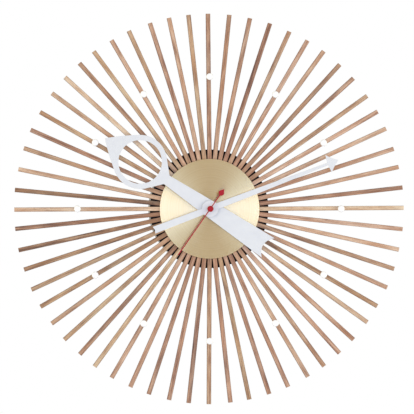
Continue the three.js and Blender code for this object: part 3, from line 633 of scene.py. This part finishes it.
def cell_wrap():
    """A dry cell: printed sleeve with a pale band, and bare steel ends, along x."""
    f = Finish("cell_wrap")
    along = f.coordinate("X")
    bands = f.ramp(f.math("ADD", f.math("DIVIDE", along, CELL_BAND_SPAN), 0.5), {
        0.0: srgb(190, 192, 196),
        0.052: srgb(62, 74, 86),
        0.70: srgb(206, 208, 204),
        0.76: srgb(88, 104, 118),
        0.935: srgb(190, 192, 196),
    })
    bands.node.color_ramp.interpolation = "CONSTANT"
    scuffs = f.noise((0.3, 2.0, 2.0), 3.0)
    colour = f.blend(f.ramp(scuffs, {0.55: 0.0, 0.85: 0.35}), bands, srgb(150, 152, 155))
    ends = f.math("GREATER_THAN", f.math("ABSOLUTE", along), CELL_SLEEVE_END)
    f.bump(scuffs, 0.015)
    return f.wear(Base_Color=colour, Metallic=ends, Roughness=f.around(scuffs, 0.34, 0.08))


WALNUT = walnut()
DIAL_BRASS = dial_brass()
TURNED_BRASS = turned_brass()
BLACK_STEEL = black_steel("black_steel", roughness=0.48, gloss=0.1)
BLACK_ENAMEL = black_steel("black_enamel", roughness=0.2, gloss=0.6)
WHITE_LACQUER = lacquer(
    "white_lacquer", srgb(255, 254, 252), srgb(253, 252, 249), roughness=0.35, coat=0.2)
HAND_LACQUER = lacquer(
    "hand_lacquer", srgb(218, 218, 218), srgb(213, 213, 214), roughness=0.45)
RED_LACQUER = lacquer(
    "red_lacquer", srgb(168, 12, 20), srgb(154, 9, 16), roughness=0.42, gloss=0.25)
ZINC_STEEL = zinc_steel()
CASE_PLASTIC = moulded_plastic(
    "case_plastic", srgb(44, 45, 48), srgb(36, 37, 40), roughness=0.5)
KNOB_PLASTIC = moulded_plastic(
    "knob_plastic", srgb(80, 80, 84), srgb(68, 68, 72), roughness=0.42)
GEAR_PLASTIC = moulded_plastic(
    "gear_plastic", srgb(236, 233, 220), srgb(222, 218, 204), roughness=0.38, clear=0.15)
COPPER_WIRE = copper_wire()
CIRCUIT_GREEN = circuit_green()
CELL_WRAP = cell_wrap()


# ---------------------------------------------------------------------- rays

def square_ring(half_width, along, shrink=0.0):
    """A rounded square across a stick, at a distance from the clock's axis."""
    wide = half_width - shrink
    high = RAY_WIDTH / 2 - shrink
    corners = [(wide, -high), (wide, high), (-wide, high), (-wide, -high)]
    return [(x, along, z) for x, z in soften(corners, RAY_CORNER, steps=3)]


def add_stick(bm, tip):
    """A square stick with softened edges, and a narrower tongue under the dial."""
    half = RAY_WIDTH / 2
    tongue = half * RAY_TONGUE_RADIUS / RAY_ROOT_RADIUS
    rings = [
        square_ring(tongue, RAY_TONGUE_RADIUS),
        square_ring(half - 0.05, RAY_ROOT_RADIUS + 0.5),
    ]
    start, end = RAY_ROOT_RADIUS + 1, tip - 1
    for i in range(9):
        rings.append(square_ring(half, start + (end - start) * i / 8))
    for shrink, drop in quarter_round(RAY_TIP_EDGE, 2):
        rings.append(square_ring(half, tip - drop, shrink))
    rows = loft(bm, rings)
    bm.faces.new(rows[0])
    bm.faces.new(rows[-1])


def mark(obj, name, value):
    """Gives every point of a piece the same number, for its material to read."""
    attribute = obj.data.attributes.new(name, "FLOAT", "POINT")
    attribute.data.foreach_set("value", [value] * len(obj.data.vertices))


def held_at_hub(turn):
    """Where a stick at an angle in degrees from twelve meets the ribs that hold it."""
    angle = math.radians(turn)
    return Vector((math.sin(angle), math.cos(angle))) * RIB_ROOT_RADIUS


def limited(value, low, high):
    return min(high, max(low, value))


def make_rays():
    """Sixty sticks laid by hand: each leans a little about its place between the ribs."""
    chance = random.Random(RAY_SEED)
    for i in range(RAY_COUNT):
        hour = round(i / RAYS_PER_HOUR) % HOURS or HOURS
        bm = bmesh.new()
        add_stick(bm, RAY_TIP_RADIUS - chance.uniform(0, RAY_TIP_SPREAD))
        turn = 360 / RAY_COUNT * i
        lean = limited(chance.gauss(0, RAY_LEAN), -RAY_LEAN_LIMIT, RAY_LEAN_LIMIT)
        shift = held_at_hub(turn) - held_at_hub(turn + lean)
        place = (shift.x, shift.y, (RAY_BACK + RAY_FRONT) / 2)
        ray = piece(f"ray_{i:02d}", bm, WALNUT, f"rays_{hour:02d}", turn + lean, place)
        mark(ray, "tone", limited(chance.gauss(0.5, RAY_TONE_SPREAD), *RAY_TONE_LIMITS))
        mark(ray, "seed", chance.random())


def make_buttons():
    """A turned button on the middle ray of each hour."""
    height = MARKER_FRONT - MARKER_BACK
    profile = [
        (0, 0), (MARKER_RADIUS - MARKER_EDGE, 0), (MARKER_RADIUS, MARKER_EDGE),
        (MARKER_RADIUS, MARKER_RIM),
    ]
    for i in range(1, 10):
        angle = math.pi / 2 * i / 10
        rise = (height - MARKER_RIM) * math.sin(angle)
        profile.append((MARKER_RADIUS * math.cos(angle), MARKER_RIM + rise))
    profile.append((0, height))
    for hour in range(1, HOURS + 1):
        bm = bmesh.new()
        add_turned(bm, profile)
        angle = math.radians(90 - 360 / HOURS * hour)
        place = (MARKER_PLACE * math.cos(angle), MARKER_PLACE * math.sin(angle), MARKER_BACK)
        node = f"hour_marker_{hour:02d}"
        piece(f"button_{hour:02d}", bm, WHITE_LACQUER, node, offset=place)


# ------------------------------------------------------------- hub and drum

def make_hub():
    """The black ring that the sticks lie on, with a low rib in each space between them."""
    bm = bmesh.new()
    add_tube(bm, HUB_BORE, DRUM_RADIUS, HUB_BACK, HUB_FRONT, edge=0.3, steps=ROUND_STEPS)

    def half_rib(radius):
        return (radius * FULL_TURN / RAY_COUNT - RAY_WIDTH) / 2 - RIB_GAP

    outline = soften([
        (-half_rib(RIB_ROOT_RADIUS), RIB_ROOT_RADIUS),
        (half_rib(RIB_ROOT_RADIUS), RIB_ROOT_RADIUS),
        (half_rib(RIB_TIP_RADIUS), RIB_TIP_RADIUS),
        (-half_rib(RIB_TIP_RADIUS), RIB_TIP_RADIUS),
    ], 0.15, steps=2)
    for i in range(RAY_COUNT):
        rib = bmesh.new()
        add_plate(rib, [outline], HUB_FRONT - RIB_SUNK, RIB_FRONT, edge=0.15)
        turn = Matrix.Rotation(FULL_TURN * (i + 0.5) / RAY_COUNT, 4, "Z")
        bmesh.ops.transform(rib, matrix=turn, verts=rib.verts)
        scratch = bpy.data.meshes.new("rib")
        rib.to_mesh(scratch)
        rib.free()
        bm.from_mesh(scratch)
        bpy.data.meshes.remove(scratch)
    piece("spacer_ring", bm, BLACK_STEEL, "hub_ring")


def make_drum():
    """A pressed can: rounded at the front, rolled at its open rear rim."""
    bm = bmesh.new()
    inner = DRUM_RADIUS - DRUM_WALL
    face = DRUM_FRONT - DRUM_FACE
    section = soften([
        (SHAFT_CLEAR, DRUM_FRONT), (DRUM_RADIUS, DRUM_FRONT), (DRUM_RADIUS, DRUM_BACK),
        (inner, DRUM_BACK), (inner, face), (SHAFT_CLEAR, face),
    ], 0.6)
    add_turned(bm, section + section[:1], steps=ROUND_STEPS)
    piece("drum_shell", bm, BLACK_ENAMEL, "drum")


def make_posts():
    """The turned standoffs inside the drum that take the cover screws."""
    for i, node in enumerate(POSTS, 1):
        back, front = depths(node)
        bm = bmesh.new()
        add_tube(bm, POST_BORE, radius_of(node), back, front, edge=0.3, steps=32)
        piece(f"post_{i}", bm, ZINC_STEEL, node, offset=(*centre_of(node), 0))


# ------------------------------------------------------------------- the dial

def make_dial():
    """The brushed disc, and the washer and nut that hold it to the movement's shaft."""
    bm = bmesh.new()
    add_tube(bm, SHAFT_CLEAR, DIAL_RADIUS, DIAL_BACK, DIAL_FRONT, edge=0.25, steps=ROUND_STEPS)
    piece("dial_plate", bm, DIAL_BRASS, "dial_disc")

    bm = bmesh.new()
    back, front = depths("dial_washer")
    add_tube(bm, SHAFT_CLEAR, radius_of("dial_washer"), back, front, edge=0.15)
    piece("washer", bm, ZINC_STEEL, "dial_washer")

    bm = bmesh.new()
    back, front = depths("shaft_nut")
    hexagon = soften(circle(NUT_CORNER_RADIUS, 6), 0.3)
    add_plate(bm, [hexagon, hole(circle(SHAFT_CLEAR))], back, front, edge=0.3)
    piece("hex_nut", bm, TURNED_BRASS, "shaft_nut")


# ------------------------------------------------------------------ the hands

def make_hour_hand():
    """A spade drawn out to a point round an open eye, with a swallowtail."""
    notch, tail = (0, -77.4), (14, -84.5)
    waist, neck = (9.9, 0), (6.1, 62.6)
    eye, eye_radius, bow_radius = (0, 101.1), 26.1, 32.5
    flare = (20, 75.5)  # the bow starts where a line from the eye to this point crosses it
    shoulder_angle = 51.1  # degrees from twelve at which the bow ends
    shoulder_pull, tip = (12.9, 139), (0, 152)
    bow_start = math.degrees(math.atan2(flare[1] - eye[1], flare[0]))
    side = [notch] + curve(notch, (tail[0] / 2, notch[1]), tail) + [waist, neck]
    side += arc(eye, bow_radius, bow_start, 90 - shoulder_angle, 30)
    side += curve(side[-1], shoulder_pull, tip, 16)
    back, front = depths("hour_hand")
    bm = bmesh.new()
    loops = [mirrored(side), hole(circle(eye_radius, 96, eye)), hole(circle(HOUR_HAND_BORE, 32))]
    add_plate(bm, loops, 0, front - back, edge=0.2)
    piece("hour_hand_blade", bm, HAND_LACQUER, "hour_hand", HOUR_HAND_ANGLE, (0, 0, back))


def make_minute_hand():
    """A long blade with a barbed arrowhead and a round boss at the axis."""
    boss_radius = 10
    notch, tail = (0, -71), (4.3, -72.2)
    waist, middle, neck = (3.75, 0), (3.4, 48), (1.6, 151.6)
    barb, barb_pull, tip = (11.4, 152.8), (5.7, 157.2), (0, 165.5)

    def on_boss(end, sign):
        """Where the blade's side towards an end leaves the boss."""
        slope = (end[0] - waist[0]) / abs(end[1])
        height = math.sqrt(boss_radius ** 2 - waist[0] ** 2)
        return (waist[0] + slope * height, sign * height)

    low, high = on_boss(tail, -1), on_boss(middle, 1)
    start, end = (math.degrees(math.atan2(y, x)) for x, y in (low, high))
    boss = arc((0, 0), boss_radius, start, end, 32)
    side = [notch, tail] + boss + [middle, neck, barb]
    side += curve(barb, barb_pull, tip, 10)
    back, front = depths("minute_hand")
    bm = bmesh.new()
    loops = [mirrored(side), hole(circle(MINUTE_HAND_BORE, 24))]
    add_plate(bm, loops, 0, front - back, edge=0.2)
    piece("minute_hand_blade", bm, HAND_LACQUER, "minute_hand", MINUTE_HAND_ANGLE, (0, 0, back))

    bm = bmesh.new()
    back, front = depths("minute_hand_nut")
    add_tube(bm, SECOND_HAND_BORE, radius_of("minute_hand_nut"), back, front, edge=0.25)
    piece("hand_nut", bm, TURNED_BRASS, "minute_hand_nut")


def make_second_hand():
    """A thin pointer with a drop-shaped counterweight, under a domed cap."""
    drop_centre, drop_radius, drop_point = (0, -23.3), 3.3, -29
    hub_radius, stem = 2.4, 0.6
    shoulder, tip = (stem, 67.3), (0, 67.5)
    tangent = math.degrees(math.acos(drop_radius / (drop_centre[1] - drop_point)))
    drop_top = math.degrees(math.asin(stem / drop_radius))
    hub_edge = math.degrees(math.asin(stem / hub_radius))
    side = [(0, drop_point)]
    side += arc(drop_centre, drop_radius, tangent - 90, 90 - drop_top, 24)
    side += arc((0, 0), hub_radius, hub_edge - 90, 90 - hub_edge, 24)
    side += [shoulder, tip]
    back, front = depths("second_hand")
    bm = bmesh.new()
    loops = [mirrored(side), hole(circle(SECOND_HAND_BORE, 24))]
    add_plate(bm, loops, 0, front - back, edge=0.12)
    piece("second_hand_needle", bm, RED_LACQUER, "second_hand", SECOND_HAND_ANGLE, (0, 0, back))

    back, front = depths("second_hand_cap")
    radius = radius_of("second_hand_cap")
    height = front - back
    socket, dome = 1.6, 0.9  # depth of the shaft's socket and height of the dome
    profile = [(0, socket), (SECOND_HAND_BORE, socket), (SECOND_HAND_BORE, 0), (radius, 0)]
    profile.append((radius, height - dome))
    for i in range(1, 10):
        angle = math.pi / 2 * i / 10
        profile.append((radius * math.cos(angle) ** 0.5, height - dome + dome * math.sin(angle)))
    profile.append((0, height))
    bm = bmesh.new()
    add_turned(bm, profile)
    piece("cap", bm, RED_LACQUER, "second_hand_cap", offset=(0, 0, back))


# ------------------------------------------------------------------- the back

def cross_recess(arm, half_width):
    """The outline of a cross-head screw's recess."""
    quarter = [(half_width, -arm), (half_width, -half_width), (arm, -half_width)]
    points = []
    for i in range(4):
        turn = Matrix.Rotation(FULL_TURN * i / 4, 2)
        points += [tuple(turn @ Vector(point)) for point in quarter]
    return points


def make_cover_screws():
    """Countersunk cross-head screws with a rolled thread."""
    head_radius, shank_radius = 3.0, 1.5
    head_height, cone_end, thread_start = 0.7, 1.8, 2.2
    pitch, thread_depth = 0.8, 0.3
    recess = soften(cross_recess(arm=1.7, half_width=0.42), 0.2, steps=2)
    for i, node in enumerate(SCREWS, 1):
        back, front = depths(node)
        length = front - back
        bm = bmesh.new()
        add_plate(bm, [circle(head_radius, 36), hole(recess)], 0, head_height, edge=0.08)
        cone_start = head_height - 0.1
        shank = [(0, cone_start), (head_radius - 0.25, cone_start), (shank_radius, cone_end)]
        depth = thread_start
        while depth + pitch < length:
            shank += [(shank_radius, depth), (shank_radius - thread_depth, depth + pitch / 2)]
            depth += pitch
        add_turned(bm, shank + [(0, length)], steps=36)
        head_turn = 17 * i  # no two of the crosses stand alike
        piece(f"screw_{i}", bm, ZINC_STEEL, node, head_turn, (*centre_of(node), back))


def make_hanger():
    """The steel plate behind the cover that takes the wall screw, and its rivets."""
    back, front = depths("hanger_plate")
    low, high = span("hanger_plate")
    outline = rounded_rectangle(
        high.x - low.x, high.y - low.y, corner=3, centre=(0, HANGER_HEIGHT))
    slot = keyhole(entry_radius=4.5, slot_width=4.6, rise=KEYHOLE_RISE, centre=KEYHOLE_PLACE)
    holes = [hole(circle(RIVET_HOLE_RADIUS, 24, centre_of(rivet))) for rivet in RIVETS]
    bm = bmesh.new()
    add_plate(bm, [outline, hole(slot)] + holes, back, front, edge=0.2)
    piece("hanger", bm, ZINC_STEEL, "hanger_plate")
    for i, node in enumerate(RIVETS, 1):
        back, front = depths(node)
        length = front - back
        shank = [(0, 0), (1.3, 0), (1.5, 0.2), (1.5, length - 0.9)]
        head = [(3, length - 0.9), (3, length - 0.85), (2.9, length - 0.45), (2.2, length - 0.12)]
        bm = bmesh.new()
        add_turned(bm, shank + head + [(0, length)])
        piece(f"rivet_{i}", bm, ZINC_STEEL, node, offset=(*centre_of(node), back))


def make_cover():
    """The steel disc that closes the back, with its windows."""
    loops = [
        circle(COVER_RADIUS, ROUND_STEPS),
        hole(keyhole(entry_radius=6.5, slot_width=9, rise=KEYHOLE_RISE, centre=KEYHOLE_PLACE)),
        hole(rounded_rectangle(*CELL_WINDOW, corner=2, centre=CELL_PLACE)),
        hole(circle(KNOB_WINDOW_RADIUS, 64, centre_of("setting_knob"))),
    ]
    loops += [hole(circle(SCREW_HOLE_RADIUS, 36, centre_of(screw))) for screw in SCREWS]
    loops += [hole(circle(RIVET_HOLE_RADIUS, 24, centre_of(rivet))) for rivet in RIVETS]
    bm = bmesh.new()
    add_plate(bm, loops, COVER_BACK, COVER_FRONT, edge=0.3)
    piece("back_cover", bm, BLACK_STEEL, "rear_cover")


def make_cell():
    """The AA cell, its positive nub to the right."""
    low, high = span("aa_cell")
    radius = (high.y - low.y) / 2
    left, right = low.x, high.x
    nub_radius, shoulder = 2.7, right - 1.2
    profile = soften([
        (0, left + 0.25), (radius - 2.2, left + 0.25), (radius - 1.8, left), (radius - 0.6, left),
        (radius - 0.5, left + 0.5), (radius, left + 1), (radius, shoulder - 1),
        (radius - 0.5, shoulder - 0.1), (radius - 1, shoulder - 0.35), (2.9, shoulder - 0.3),
        (nub_radius, shoulder), (nub_radius, right), (0, right),
    ], 0.25, closed=False)
    bm = bmesh.new()
    add_turned(bm, profile, steps=64)
    along_x = Matrix.Rotation(math.radians(90), 4, "Y")
    bmesh.ops.transform(bm, matrix=along_x, verts=bm.verts)
    place = (0, CELL_PLACE[1], (low.z + high.z) / 2)
    piece("cell", bm, CELL_WRAP, "aa_cell", offset=place)


def make_knob():
    """The setting knob: a fluted grip on its shaft."""
    back, front = depths("setting_knob")
    length = front - back
    grip_radius, grip_height = radius_of("setting_knob"), 6
    shaft_radius, shaft_start = 1, 1.2
    flutes, flute_steps, flute_depth = 18, 8, 0.3
    sides = flutes * flute_steps
    outline = []
    for i in range(sides):
        angle = FULL_TURN * i / sides
        reach = grip_radius - flute_depth + flute_depth * math.cos(flutes * angle)
        outline.append((reach * math.cos(angle), reach * math.sin(angle)))
    bm = bmesh.new()
    add_plate(bm, [outline, hole(circle(3.6, 36))], 0, grip_height, edge=0.35)
    add_tube(bm, shaft_radius - 0.1, 3.8, 0.7, 5.5, edge=0.2, steps=36)  # joins grip and shaft
    shaft = [(0, shaft_start), (shaft_radius, shaft_start), (shaft_radius, length), (0, length)]
    add_turned(bm, shaft, steps=24)
    piece("knob", bm, KNOB_PLASTIC, "setting_knob", offset=(*centre_of("setting_knob"), back))


# ---------------------------------------------- CAD nodes that stay, refinished

KEPT_FINISHES = {
    "movement_rear_case": CASE_PLASTIC,
    "movement_front_case": CASE_PLASTIC,
    "contact_positive": ZINC_STEEL,
    "contact_negative": ZINC_STEEL,
    "circuit_board": CIRCUIT_GREEN,
    "stator": ZINC_STEEL,
    "coil": COPPER_WIRE,
    "rotor": GEAR_PLASTIC,
    "step_wheel": GEAR_PLASTIC,
    "seconds_wheel": GEAR_PLASTIC,
    "third_wheel": GEAR_PLASTIC,
    "centre_wheel": TURNED_BRASS,
    "minute_wheel": GEAR_PLASTIC,
    "hour_wheel": TURNED_BRASS,
}


def refinish():
    """Gives the movement's own solids their finishes."""
    for node, finish in KEPT_FINISHES.items():
        obj = frame["nodes"][node]
        for slot in obj.material_slots:
            slot.link = "OBJECT"
            slot.material = finish


# ------------------------------------------------------ studio and camera

# Places and sizes are in metres here, in world axes.
CAMERA_DISTANCE = 4.7
CAMERA_AZIMUTH = -4.15  # degrees, to the left of the clock's axis
CAMERA_VIEW = 0.498  # width of the picture at the clock
CAMERA_TARGET = (-0.003, -0.04, 0.0022)
SENSOR = 36  # mm

# The keys stand close beside the lens, where the brushed dial mirrors them along
# its radii: a tall one for the width of its sheen, a short one for the bright core.
# The fills stand wide and only lift the wood and the hands.
KEY_PLACE = (0.72, -2.9, 0)
FILL_PLACE = (2.2, -1.2, 0)
LIGHTS = {  # name: place, size, watts, colour
    "tall_key": (KEY_PLACE, (0.5, 1.3), 7.5, (0.45, 0.70, 1.08)),
    "core_key": (KEY_PLACE, (0.5, 0.5), 4.2, (0.12, 0.38, 1.58)),
    "fill": (FILL_PLACE, (1.2, 2.0), 26, (1.07, 1.02, 0.82)),
}
WORLD_LIGHT = (0.68, 0.646, 0.56)  # from all round


def make_camera():
    """A long lens, level with the clock."""
    data = bpy.data.cameras.new("camera")
    data.sensor_width = SENSOR
    data.lens = SENSOR * CAMERA_DISTANCE / CAMERA_VIEW
    data.clip_start, data.clip_end = 0.1, 50
    camera = bpy.data.objects.new("camera", data)
    bpy.context.scene.collection.objects.link(camera)
    azimuth = math.radians(CAMERA_AZIMUTH)
    target = Vector(CAMERA_TARGET)
    back = Vector((math.sin(azimuth), -math.cos(azimuth), 0))
    camera.location = target + back * CAMERA_DISTANCE
    camera.rotation_mode = "QUATERNION"
    camera.rotation_quaternion = (-back).to_track_quat("-Z", "Y")
    bpy.context.scene.camera = camera


def make_softbox(name, place, size, watts, colour):
    """A rectangular light that faces the clock and isn't seen by the camera."""
    data = bpy.data.lights.new(name, "AREA")
    data.shape = "RECTANGLE"
    data.size, data.size_y = size
    data.energy = watts
    data.color = colour
    light = bpy.data.objects.new(name, data)
    bpy.context.scene.collection.objects.link(light)
    light.location = place
    light.rotation_mode = "QUATERNION"
    light.rotation_quaternion = (Vector((0, 0, 0)) - Vector(place)).to_track_quat("-Z", "Y")
    light.visible_camera = False


def make_world():
    """White where the camera looks past the clock, and a softer warm grey as light."""
    world = bpy.data.worlds.new("studio")
    bpy.context.scene.world = world
    world.use_nodes = True
    nodes, links = world.node_tree.nodes, world.node_tree.links
    seen, light = nodes["Background"], nodes.new("ShaderNodeBackground")
    seen.inputs["Color"].default_value = (1, 1, 1, 1)
    seen.inputs["Strength"].default_value = 1.0
    light.inputs["Color"].default_value = (*WORLD_LIGHT, 1)
    light.inputs["Strength"].default_value = 1.0
    path, either = nodes.new("ShaderNodeLightPath"), nodes.new("ShaderNodeMixShader")
    links.new(path.outputs["Is Camera Ray"], either.inputs[0])
    links.new(light.outputs[0], either.inputs[1])
    links.new(seen.outputs[0], either.inputs[2])
    links.new(either.outputs[0], nodes["World Output"].inputs[0])


def make_floor():
    """A pale round floor, well below the clock."""
    radius, height = 0.95, -0.5
    bm = bmesh.new()
    rim = [bm.verts.new((x, y, height)) for x, y in circle(radius, 128)]
    bm.faces.new(rim)
    mesh = bpy.data.meshes.new("floor")
    bm.to_mesh(mesh)
    bm.free()
    floor = bpy.data.objects.new("floor", mesh)
    bpy.context.scene.collection.objects.link(floor)
    f = Finish("floor")
    cloud = f.noise((0.004, 0.004, 0.004), 3.0)
    floor.data.materials.append(f.wear(
        Base_Color=f.ramp(cloud, {0.3: srgb(226, 229, 237), 0.7: srgb(232, 235, 243)}),
        Roughness=f.around(cloud, 0.6, 0.05),
    ))


def make_studio():
    make_camera()
    make_world()
    make_floor()
    for name, ((x, y, z), size, watts, colour) in LIGHTS.items():
        make_softbox(f"{name}_left", (-x, y, z), size, watts, colour)
        make_softbox(f"{name}_right", (x, y, z), size, watts, colour)
    bpy.context.scene.view_settings.view_transform = "Standard"


# ----------------------------------------------------------------- assembly

make_rays()
make_buttons()
make_hub()
make_drum()
make_posts()
make_dial()
make_hour_hand()
make_minute_hand()
make_second_hand()
make_cover()
make_cover_screws()
make_hanger()
make_cell()
make_knob()
refinish()
make_studio()
